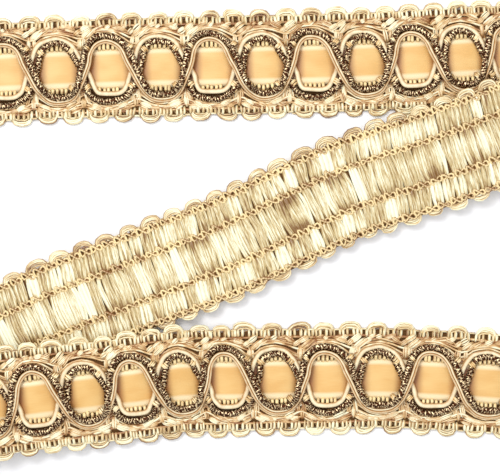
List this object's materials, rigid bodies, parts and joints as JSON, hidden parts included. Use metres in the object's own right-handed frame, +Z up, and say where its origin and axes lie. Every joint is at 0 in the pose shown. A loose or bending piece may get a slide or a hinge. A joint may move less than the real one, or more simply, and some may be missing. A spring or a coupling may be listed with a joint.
{
  "type": "braid trim",
  "caption": "Scalloped gimp braid trim with looped couched cords over a satin ribbon, one cut length folded twice and laid in a flat Z.",
  "frame": {"origin": "bottom centre of the box around the laid braid, on the surface it lies on", "axes": "+X along the outer runs, left to right as seen from above, +Y across towards the run that lies undermost, +Z up off the surface"},
  "size_m": [0.2, 0.1179, 0.0127],
  "materials": {
    "woven_tape": "cream and light gold rayon floss and chain stitch, satin sheen, scalloped picot edges",
    "satin_ribbon": "light gold satin ribbon",
    "metallic_cord_under": "crinkled bronze metallic gimp cord",
    "flat_cord_under": "pale gold rayon-covered cord, satin sheen",
    "metallic_cord_over": "crinkled bronze metallic gimp cord",
    "double_cord_over": "pale gold double cord, satin sheen"
  },
  "bodies": {
    "root": {"woven_tape": "woven_tape", "satin_ribbon": "satin_ribbon", "metallic_cord_under": "metallic_cord_under", "flat_cord_under": "flat_cord_under", "metallic_cord_over": "metallic_cord_over", "double_cord_over": "double_cord_over"}
  },
  "joints": []
}
